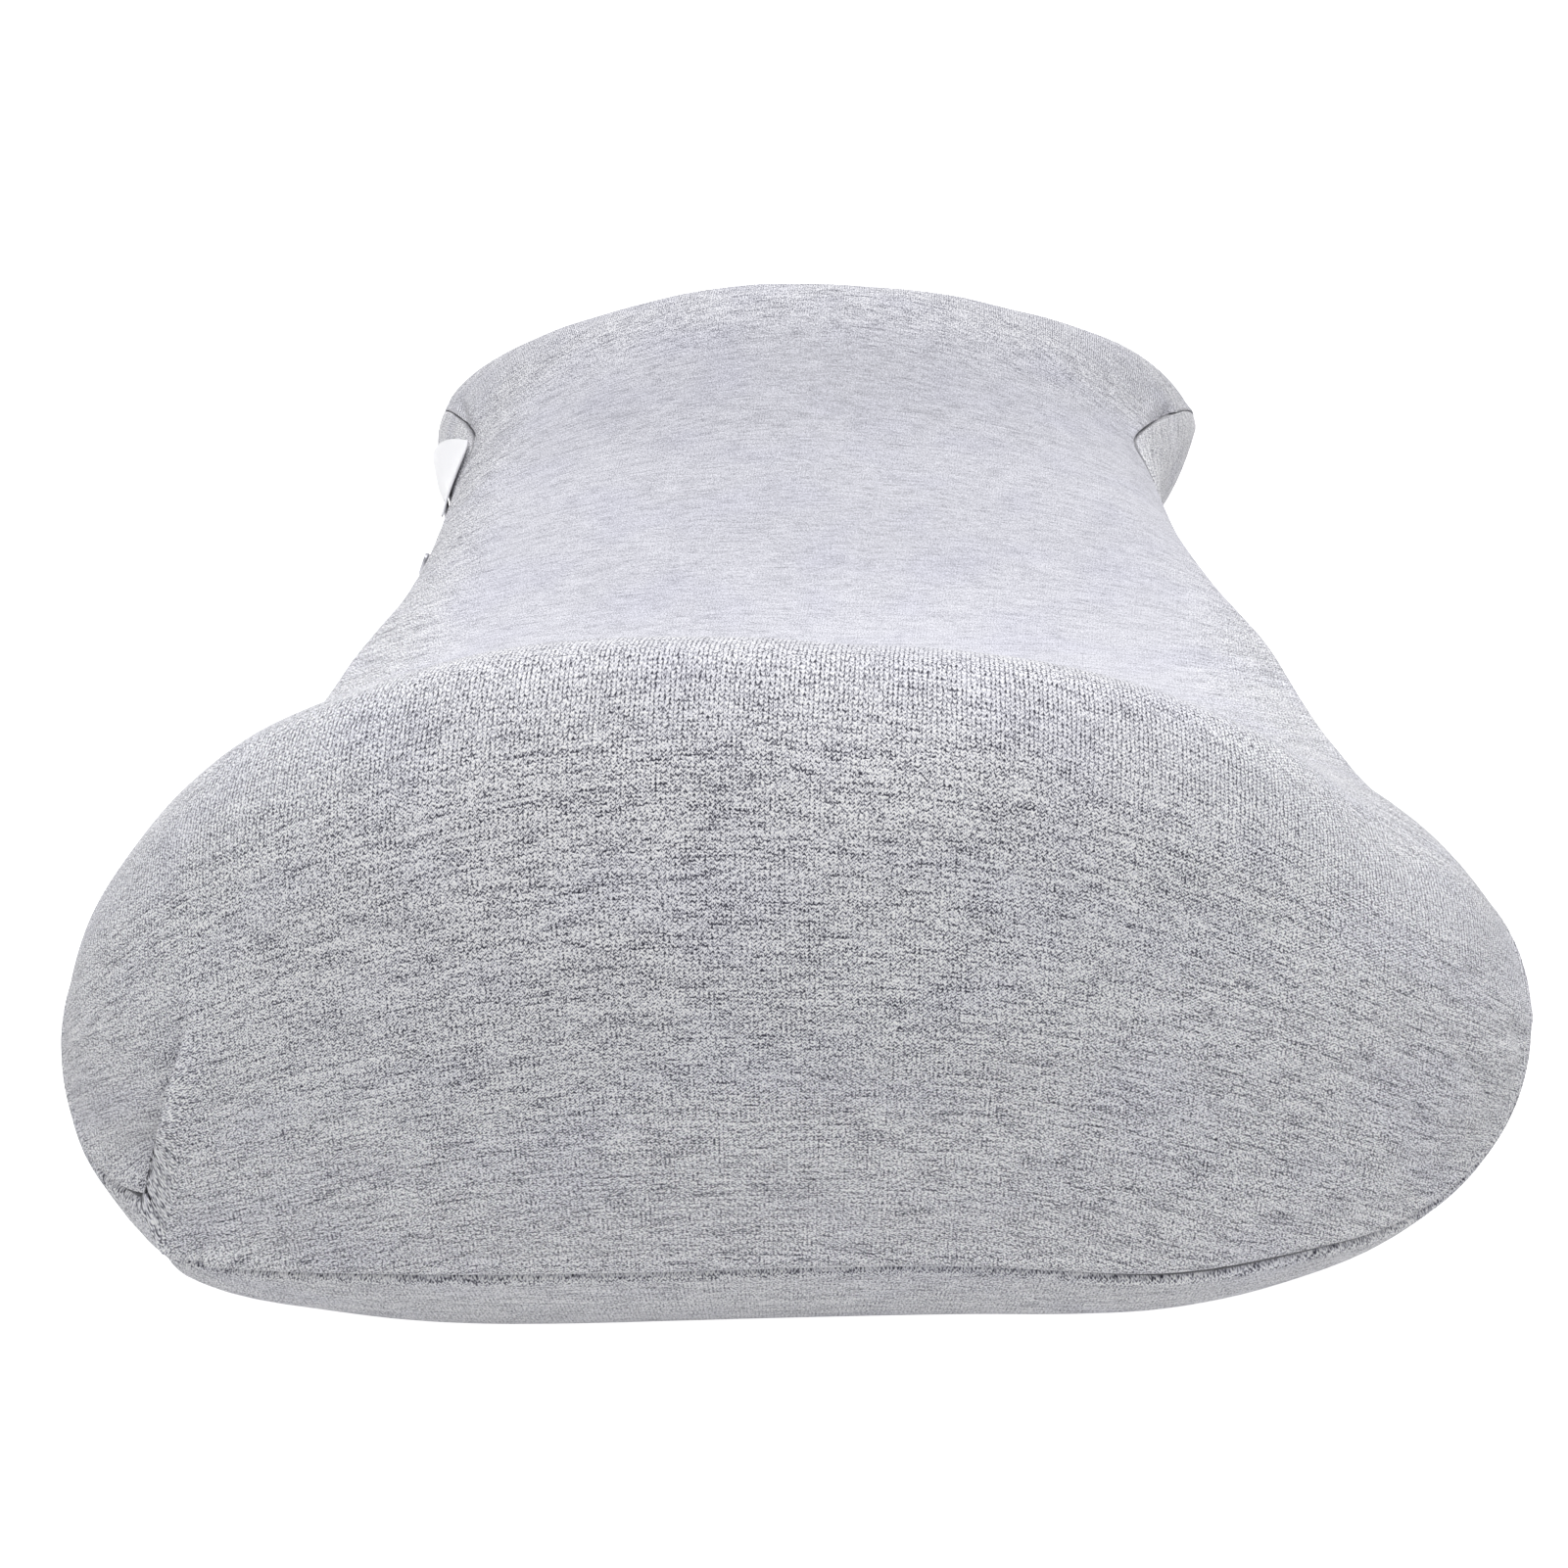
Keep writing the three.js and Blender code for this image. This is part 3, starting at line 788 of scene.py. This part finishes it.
def heather_jersey(name, crown_shading=None):
    """Grey melange weft-knit jersey: V-shaped stitches in wales, flecks and streaks along the courses."""
    sh = new_material(name)
    across, along = sh.flat_place()

    def mottle(kind, shift_across=0.0, shift_along=0.0, detail=2.0, roughness=0.6):
        size_across, size_along = MOTTLE[kind]
        place = sh.vector(across / size_across + shift_across, along / size_along + shift_along)
        return sh.noise(place, detail, roughness)

    wander_size = STITCH["wander_size"]
    wander = sh.noise(sh.vector(across / wander_size, along / wander_size)) - 0.5
    wale = across / KNIT["wale"] + wander * STITCH["wale_wander"]
    from_middle = (wale.fraction() - 0.5).absolute() * 2.0
    phase = along / KNIT["course"] - from_middle * STITCH["v_depth"] + wander * STITCH["course_wander"]
    leg = (phase.fraction() * math.pi).sine().power(STITCH["leg_power"])
    leg_across = ((from_middle * (1 - STITCH["leg_from"]) + STITCH["leg_from"]) * math.pi).sine()
    stitch = leg * (leg_across * STITCH["leg_contrast"] + (1 - STITCH["leg_contrast"]))
    rib = 1.0 - from_middle.power(3.0)

    fleck = sh.white_noise(sh.vector((wale * 2.0).floor(), phase.floor()))
    grain = mottle("grain", detail=1.0, roughness=0.5)
    marl = mottle("marl", detail=1.0)
    row = (along / KNIT["course"] + wander * STITCH["row_wander"]).floor()
    streak = sh.noise(sh.vector(across / MOTTLE["streak"], row * 3.17), 2.0, 0.6)
    long_streak = sh.noise(sh.vector(across / MOTTLE["long_streak"], row * 1.37 + 40.0))
    patch = mottle("patch", shift_across=7.0)

    relief_and_shading_strength, crest, shade = 1.0, 0.0, 0.0
    calm, crest_melange = 1.0, 1.0
    if crown_shading:
        # Painted shade: the ends and sides, away from the overhead lamp, get the knit's full painted shade
        # and a darker tone.
        from_middle_line = (along - PANEL_SPAN / 2).absolute()
        from_spine = (across - PANEL_SPAN / 2).absolute()
        over_end = sh.step(from_middle_line, crown_shading["slack"], crown_shading["tight"])
        over_side = sh.step(from_spine, crown_shading["slack"], crown_shading["tight"])
        tight = 1.0 - (1.0 - over_end) * (1.0 - over_side)
        relief_and_shading_strength = tight * (1 - crown_shading["left"]) + crown_shading["left"]
        # Painted shade: the far wing's tone is painted darker.
        far = sh.step(along - PANEL_SPAN / 2, crown_shading["far_foot"], crown_shading["far_wing"])
        shade = tight * crown_shading["tight_shade"] + far * crown_shading["far_shade"]
        from_crest = ((from_middle_line - crown_shading["crest"]) / crown_shading["crest_width"]).absolute()
        crest = 1.0 - sh.step(from_crest, 0.0, 1.0)
        calm = 1.0 - crest * crown_shading["crest_calm"]
        crest_melange = 1.0 - crest * crown_shading["crest_melange_calm"]

    # Painted light and shade of the knit's relief: pale stitch legs, dark gaps between the legs and between
    # the wales.
    stitches = (stitch - STITCH_MEAN) * TONE["stitch"]
    ribs = (rib - RIB_MEAN) * (crest * TONE["crest_rib"] + TONE["rib"])
    flecks = (fleck - 0.5) * TONE["fleck"] + (grain - 0.5) * TONE["grain"] + (marl - 0.5) * TONE["marl"]
    detail = (stitches + ribs + flecks) * calm
    streaks = (streak - 0.5) * TONE["streak"] + (long_streak - 0.5) * TONE["long_streak"]
    dark_streaks = sh.step(streak, TONE["dark_from"], TONE["dark_to"]) * TONE["dark_streak"]
    melange = (streaks + (patch - 0.5) * TONE["patch"] - dark_streaks) * crest_melange
    melange_share = relief_and_shading_strength * TONE["tight_melange"] + TONE["slack_melange"]
    tone = TONE["plain"] + detail * relief_and_shading_strength + melange * melange_share - shade
    cast = sh.step(mottle("cast", shift_along=3.0, detail=1.0, roughness=0.5), 0.4, 0.8) * TONE["cast"]
    color = sh.mix(cast, sh.ramp(tone, YARN_AND_SHADE_TONES), LILAC, "MULTIPLY")

    relief = (stitch * RELIEF["stitch"] + (rib - RIB_MEAN) * RELIEF["rib"]
              + (grain - 0.5) * RELIEF["grain"]) * relief_and_shading_strength
    bump = sh.node("ShaderNodeBump", {}, {
        "Strength": 1.0, "Distance": RELIEF["depth"] * MM, "Height": relief,
    })
    skin = sh.node("ShaderNodeBsdfPrincipled", {}, {
        "Base Color": color, "Roughness": 0.92, "Specular IOR Level": 0.2,
        "Sheen Weight": 0.15, "Sheen Roughness": 0.45, "Normal": bump.value(0),
    })
    return sh.finish(skin)


# The ribbon's satin weave: spacing of warp and weft in millimetres, and the tones between its threads.
RIBBON = {"warp": 0.22, "weft": 0.30, "shift": 0.2, "low": rgb(238, 239, 248), "high": rgb(254, 254, 255)}


def satin_ribbon(name):
    """Blank white woven ribbon: a fine satin weave with firmer selvedges."""
    sh = new_material(name)
    across, along = sh.flat_place()
    thread = across / RIBBON["warp"]
    warp = (thread * 2 * math.pi).sine() * 0.5 + 0.5
    weft = ((along / RIBBON["weft"] + thread.floor() * RIBBON["shift"]) * 2 * math.pi).sine() * 0.5 + 0.5
    weave = warp * 0.6 + weft * 0.4
    slub = sh.noise(sh.vector(across / 4.0, along / 0.6), 2.0)
    color = sh.ramp(weave * 0.3 + slub * 0.4 + 0.3, [(0.0, RIBBON["low"]), (1.0, RIBBON["high"])])
    bump = sh.node("ShaderNodeBump", {}, {"Strength": 0.4, "Distance": 0.08 * MM, "Height": weave})
    skin = sh.node("ShaderNodeBsdfPrincipled", {}, {
        "Base Color": color, "Roughness": 0.45, "Specular IOR Level": 0.7,
        "Sheen Weight": 0.8, "Sheen Roughness": 0.3, "Normal": bump.value(0),
    })
    return sh.finish(skin)


def cast_metal(name):
    """Small tumbled zinc casting: dull silver with fine scuffs and broad blotches of darker tone."""
    sh = new_material(name)
    place = sh.node("ShaderNodeTexCoord").value("Object")
    fine = sh.noise(place, 4.0, 0.6, scale=1800.0, dimensions="3D")
    broad = sh.noise(place, 2.0, scale=350.0, dimensions="3D")
    color = sh.ramp(fine * 0.5 + broad * 0.5, [(0.3, rgb(150, 150, 156)), (0.7, rgb(196, 196, 202))])
    bump = sh.node("ShaderNodeBump", {}, {"Strength": 0.3, "Distance": 0.05 * MM, "Height": fine})
    skin = sh.node("ShaderNodeBsdfPrincipled", {}, {
        "Base Color": color, "Metallic": 0.85, "Roughness": sh.step(broad, 0.2, 0.8) * 0.2 + 0.32,
        "Normal": bump.value(0),
    })
    return sh.finish(skin)


# ---- The crown cushion -----------------------------------------------------------------------------

def crown_cushion(cloth):
    """The filled pillow under its crown panel, stepped in under the seam by the base panel's thickness."""
    columns, rows = CROWN_MESH["across"], CROWN_MESH["along"]
    s, t = square_grid(columns, rows, CROWN_MESH["edge_crowding"])
    a, b, share = grid_on_unit(s, t)
    reach = seam_reach(a, b)
    even = upper(a, b, share * reach)
    pattern = flat_pattern(even, knit_directions, PATTERN_FIT["crown_step"])
    pattern -= pattern[rows // 2, columns // 2]
    from_seam = np.linalg.norm(even - upper(a, b, reach), axis=-1)

    top = pushed(even)
    normals = surface_normals(top)
    back = ease(from_seam / UNEVEN_SHARE["seam_reach"])
    height = unevenness(even) * blend(UNEVEN_SHARE["at_seam"], 1.0, back)
    height += edge_offset(from_seam, SEAM_EDGE["crown"]) * seam_depth(even)
    top = top + height[..., None] * normals
    top = top + fold_moves(top, surface_normals(top))

    rim = rim_of(grid_numbers(rows, columns))
    rim_a, rim_b = a.ravel()[rim], b.ravel()[rim]
    inset = CLOTH + GAP
    rings = [upper(rim_a, rim_b, reach.ravel()[rim]) - outward_at(rim_a, rim_b) * inset]
    for level in HIDDEN_MESH["brim"]:
        rings.append(brim(rim_a, rim_b, level, inset) - [0, 0, GAP * level])
    for turn in np.linspace(0, QUARTER_TURN, HIDDEN_MESH["tuck"] + 1)[1:]:
        rings.append(underside(rim_a, rim_b, turn, inset))
    rings += [rings[-1] * [inner, inner, 1] for inner in HIDDEN_MESH["floor"]]
    rings = [pushed(ring) for ring in rings]

    first = top.shape[0] * top.shape[1]
    vertices = np.concatenate([top.reshape(-1, 3), *rings, [[0, 0, inset]]])
    faces = grid_faces(rows, columns).tolist()
    previous = rim
    for k in range(len(rings)):
        ring = first + k * len(rim) + np.arange(len(rim))
        faces += bridge(previous, ring).tolist()
        previous = ring
    faces += fan(previous, len(vertices) - 1)
    uv = np.concatenate([pattern_uv(pattern), hidden_uv(vertices[first:])])
    piece = mesh_object("crown_cushion", vertices, faces, uv)
    piece.data.materials.append(cloth)
    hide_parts("pillow_body")
    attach(piece, BODY)
    return piece


# ---- The base panel --------------------------------------------------------------------------------

def base_panel(cloth):
    """The panel of the back: flat where it rests, its rim curled up over the girth to the seam."""
    s, t = square_grid(CROWN_MESH["across"], CROWN_MESH["along"], CROWN_MESH["edge_crowding"])
    rim = rim_of(grid_numbers(CROWN_MESH["along"], CROWN_MESH["across"]))
    a, b = to_plan(s.ravel()[rim], t.ravel()[rim])

    def curl(depth, tucks, brims):
        turns = np.linspace(QUARTER_TURN, 0, tucks + 1)
        crowded = 1 - (1 - np.linspace(0, 1, brims + 1)[1:]) ** 2
        under = [underside(a, b, turn, depth) for turn in turns]
        return under + [brim(a, b, share, depth) for share in crowded]

    def floor(ring, shares):
        return [ring * [share, share, 1] for share in shares]

    shares = np.linspace(0, 1, BASE_MESH["floor"] + 1)[1:-1]
    outer = curl(0.0, BASE_MESH["tuck"], BASE_MESH["brim"])
    spread = np.stack(floor(outer[0], shares) + outer)
    spread = np.concatenate([spread, spread[:, :1]], axis=1)
    pattern = flat_pattern(spread, curled_directions, PATTERN_FIT["base_step"])[:, :-1]
    pattern -= pattern[0].mean(axis=0)
    top_edge = outer[-1]
    rounded = []
    for k, ring in enumerate(outer):
        neighbour = outer[min(k + 1, len(outer) - 1)] - outer[max(k - 1, 0)]
        around = np.roll(ring, -1, axis=0) - np.roll(ring, 1, axis=0)
        normal = np.cross(around, neighbour)
        normal /= np.maximum(np.linalg.norm(normal, axis=-1, keepdims=True), 1e-9)
        from_rim = np.linalg.norm(ring - top_edge, axis=-1)
        above = np.clip(ring[..., 2] / RESTING_FADE, 0, 1)
        offset = edge_offset(from_rim, SEAM_EDGE["base"]) * seam_depth(ring)
        offset += unevenness(ring) * above * UNEVEN_SHARE["base"]
        rounded.append(pushed(ring) + offset[:, None] * normal)
    outer_rings = floor(rounded[0], shares) + rounded
    inner = curl(CLOTH, BASE_MESH["tuck_inside"], BASE_MESH["brim_inside"])
    inner_rings = [pushed(ring) for ring in floor(inner[0], shares) + inner]

    rings = outer_rings + inner_rings[::-1]
    vertices = np.concatenate([*rings, [[0, 0, 0], [0, 0, CLOTH]]])
    count = len(rim)
    numbers = [k * count + np.arange(count) for k in range(len(rings))]
    faces = fan(numbers[0], len(vertices) - 2) + fan(numbers[-1][::-1], len(vertices) - 1)
    for before, after in zip(numbers[:-1], numbers[1:]):
        faces += bridge(before, after).tolist()
    outer_uv = pattern_uv(pattern)
    uv = np.concatenate([outer_uv, hidden_uv(vertices[len(outer_uv):])])
    uv[-2] = (0.5, 0.5)
    piece = mesh_object("base_cloth", vertices, faces, uv)
    piece.data.materials.append(cloth)
    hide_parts("base_panel")
    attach(piece, BODY)
    return piece


# ---- The label and the zip tab ---------------------------------------------------------------------

# The label hangs from the seam between two stations of the girth, and its free end swings a little on. Past
# a share of its length it hangs loose and ripples, and its hem flares.
LABEL = {"from": 98, "to": 67, "swing": 9, "over_girth": 0.75, "drop_turn": 0.14, "clear": 0.7,
         "loose_from": 0.25, "ripple": 0.3, "waves": 5.2, "flare": 0.3,
         "thickness": 0.5, "columns": 36, "rows": 44, "width": 26.0, "length": 29.0}


def left_outline_at(y):
    """The outline's point on the left side at a station."""
    b = y / HALF_LENGTH
    return -(1 - np.abs(b) ** PLAN_SQUARENESS) ** (1 / PLAN_SQUARENESS), b


def care_label(ribbon):
    """A blank ribbon label that hangs from the seam over the brim and the girth, left of the far wing."""
    columns, rows = LABEL["columns"], LABEL["rows"]
    across, down = np.meshgrid(np.linspace(0, 1, columns + 1), np.linspace(0, 1, rows + 1))
    a, b = left_outline_at(blend(LABEL["from"], LABEL["to"], across) + LABEL["swing"] * down)
    loose = ease((down - LABEL["loose_from"]) / (1 - LABEL["loose_from"]))
    wave = np.sin(across * LABEL["waves"] + 0.8) + 1
    ripple = loose * LABEL["ripple"] * wave + LABEL["flare"] * down ** 6
    share = 1 - down / LABEL["over_girth"]
    turn = np.maximum(-share, 0) * LABEL["drop_turn"] / (1 / LABEL["over_girth"] - 1)

    def face(side):
        proud = LABEL["clear"] + side * LABEL["thickness"] + ripple
        away = outward_at(a, b) * proud[..., None]
        raised = np.stack([0 * a, 0 * a, proud * np.maximum(share, 0)], -1)
        over = brim(a, b, np.maximum(share, 0), 0.0) + away + raised
        below = underside(a, b, turn, 0.0) + away
        return pushed(np.where((share > 0)[..., None], over, below))

    outer, inner = face(1), face(0)
    count = (rows + 1) * (columns + 1)
    rim = rim_of(grid_numbers(rows, columns))
    faces = [*grid_faces(rows, columns).tolist(), *grid_faces(rows, columns, count, flip=True).tolist(),
             *bridge(rim, rim + count).tolist()]
    flat = np.stack([across * LABEL["width"], down * LABEL["length"]], -1)
    uv = np.concatenate([pattern_uv(flat, (0.3, 0.3)), pattern_uv(flat, (0.6, 0.6))])
    vertices = np.concatenate([outer.reshape(-1, 3), inner.reshape(-1, 3)])
    piece = mesh_object("label_ribbon", vertices, faces, uv)
    piece.data.materials.append(ribbon)
    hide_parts("care_label")
    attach(piece, BODY)
    return piece


# The zip's tab: its droop in degrees, its size, and how far it stands up and to the near side of its place.
TAB = {"droop": 62, "length": 7.4, "up": 4.5, "near": 2.0, "root_inset": 0.9, "thickness": 1.3,
       "rim": 0.55, "bevel": 0.15, "hole": 1.0, "hole_length": 3.2, "hole_margin": 1.5,
       "squareness": 3.2, "taper": 0.18, "steps": 40}


def zip_tab(metal):
    """The tab of the zip's slider: a small plate with a raised rim and a slot at its free end."""
    low, high = (np.array(corner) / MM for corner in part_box("zip_pull"))
    droop = math.radians(TAB["droop"])
    inset = TAB["root_inset"]
    root = np.array([high[0] - inset * math.sin(droop), (low[1] + high[1]) / 2 - TAB["near"],
                     high[2] - inset * math.cos(droop) + TAB["up"]])
    forward = np.array([-math.cos(droop), 0, -math.sin(droop)])
    up = np.array([-math.sin(droop), 0, math.cos(droop)])
    side = np.array([0, 1, 0])
    turn = np.linspace(0, 2 * math.pi, TAB["steps"], endpoint=False)

    def loop(half_width, start, end, height):
        """A rounded oblong round the tab's middle line, at a height over it."""
        c, s = np.cos(turn), np.sin(turn)
        square = TAB["squareness"]
        radius = (np.abs(c) ** square + np.abs(s) ** square) ** (-1 / square)
        along = (start + end) / 2 + radius * s * (end - start) / 2
        taper = 1 - TAB["taper"] * (along - start) / max(end - start, 1)
        over = radius * c * half_width * taper
        return root + side * over[:, None] + forward * along[:, None] + up * height

    half, thick, length = (high[1] - low[1]) / 2, TAB["thickness"] / 2, TAB["length"]
    rim, bevel, hole = TAB["rim"], TAB["bevel"], TAB["hole"]
    hole_end = length - TAB["hole_margin"]
    hole_start = hole_end - TAB["hole_length"]
    upper_loops = [
        (half, 0.0, length, thick * 0.55),
        (half - 0.18, bevel, length - bevel, thick),
        (half - rim, rim, length - rim, thick),
        (half - rim - bevel, rim + bevel, length - rim - bevel, thick * 0.6),
        (hole + 0.1, hole_start - 0.1, hole_end + 0.1, thick * 0.6),
        (hole, hole_start, hole_end, thick * 0.4),
    ]
    lower_loops = [(w, start, end, -height) for w, start, end, height in reversed(upper_loops)]
    loops = [loop(*row) for row in upper_loops + lower_loops]
    count = TAB["steps"]
    numbers = [k * count + np.arange(count) for k in range(len(loops))]
    faces = []
    for before, after in zip(numbers, numbers[1:] + numbers[:1]):
        faces += bridge(before, after).tolist()
    piece = mesh_object("zip_tab", np.concatenate(loops), faces)
    piece.data.materials.append(metal)
    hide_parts("zip_pull")
    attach(piece, BODY)
    return piece


# ---- Stage, light and camera -----------------------------------------------------------------------

WHITE = (1, 1, 1, 1)

# The level of the room's light, the floor's glow where it is looked at, and the lamp, in metres and watts.
STUDIO = {"ambient": 0.54, "floor_glow": 0.78, "floor_reach": 6.0,
          "lamp": (0.0, 0.45, 1.6), "lamp_size": (1.4, 1.2), "lamp_power": 22.7}


def seen_white(sh):
    """One for the rays that look straight, by a mirror or through glass, and nought for the rest."""
    rays = sh.node("ShaderNodeLightPath")
    looks = rays.value("Is Camera Ray") + rays.value("Is Glossy Ray") + rays.value("Is Transmission Ray")
    return looks.clamped()


def floor_paper():
    sh = new_material("floor_paper")
    paper = sh.node("ShaderNodeBsdfDiffuse", {}, {"Color": (0.9, 0.9, 0.9, 1)})
    glow = sh.node("ShaderNodeEmission", {}, {"Color": WHITE, "Strength": STUDIO["floor_glow"]})
    both = sh.node("ShaderNodeAddShader", {}, {0: paper, 1: glow})
    shown = sh.node("ShaderNodeMixShader", {}, {0: seen_white(sh), 1: paper, 2: both})
    return sh.finish(shown)


def stage():
    mesh = bpy.data.meshes.new("floor")
    reach = STUDIO["floor_reach"]
    mesh.from_pydata([(-reach, -reach, 0), (reach, -reach, 0), (reach, reach, 0), (-reach, reach, 0)],
                     [], [(0, 1, 2, 3)])
    floor = bpy.data.objects.new("floor", mesh)
    bpy.context.scene.collection.objects.link(floor)
    floor.data.materials.append(floor_paper())


def overhead_lamp():
    data = bpy.data.lights.new("overhead", "AREA")
    data.shape = "RECTANGLE"
    data.size, data.size_y = STUDIO["lamp_size"]
    data.energy = STUDIO["lamp_power"]
    lamp = bpy.data.objects.new("overhead", data)
    lamp.location = STUDIO["lamp"]
    lamp.rotation_euler = (-Vector(STUDIO["lamp"])).to_track_quat("-Z", "Y").to_euler()
    bpy.context.scene.collection.objects.link(lamp)


def lights():
    """An even room, white where it is looked at, and one broad lamp overhead."""
    room = Shader(bpy.data.worlds.new("studio"))
    level = seen_white(room) * (1 - STUDIO["ambient"]) + STUDIO["ambient"]
    even = room.node("ShaderNodeBackground", {}, {"Color": WHITE, "Strength": level})
    bpy.context.scene.world = room.finish(even, "ShaderNodeOutputWorld")
    overhead_lamp()


# Where the camera stands, in millimetres, and how it looks down (pitch), to the right (yaw) and rolls,
# in degrees. The shift is a share of the picture's side.
CAMERA = {"place": (-16.5, -260.9, 231.0), "pitch": 44.313, "yaw": 1.755, "roll": 0.108,
          "sensor": 36.0, "focal": 25.198, "shift": 0.04276}


def camera():
    pitch, yaw, roll = (math.radians(CAMERA[key]) for key in ("pitch", "yaw", "roll"))
    forward = Vector((math.sin(yaw) * math.cos(pitch), math.cos(yaw) * math.cos(pitch), -math.sin(pitch)))
    right = Vector((math.cos(yaw), -math.sin(yaw), 0))
    down = forward.cross(right)
    picture_right = math.cos(roll) * right - math.sin(roll) * down
    picture_up = -(math.sin(roll) * right + math.cos(roll) * down)
    data = bpy.data.cameras.new("camera")
    data.sensor_width = CAMERA["sensor"]
    data.lens = CAMERA["focal"]
    data.shift_y = CAMERA["shift"]
    data.clip_start = 0.01
    eye = bpy.data.objects.new("camera", data)
    eye.matrix_world = Matrix.Translation(Vector(CAMERA["place"]) * MM) @ Matrix(
        (picture_right, picture_up, -forward)).transposed().to_4x4()
    bpy.context.scene.collection.objects.link(eye)
    bpy.context.scene.camera = eye


# ---- The object ------------------------------------------------------------------------------------

bpy.context.scene.view_settings.view_transform = "Standard"
camera()
lights()
stage()
crown_cushion(heather_jersey("crown_jersey", CROWN_SHADING))
base_panel(heather_jersey("base_jersey"))
care_label(satin_ribbon("satin_ribbon"))
zip_tab(cast_metal("cast_metal"))
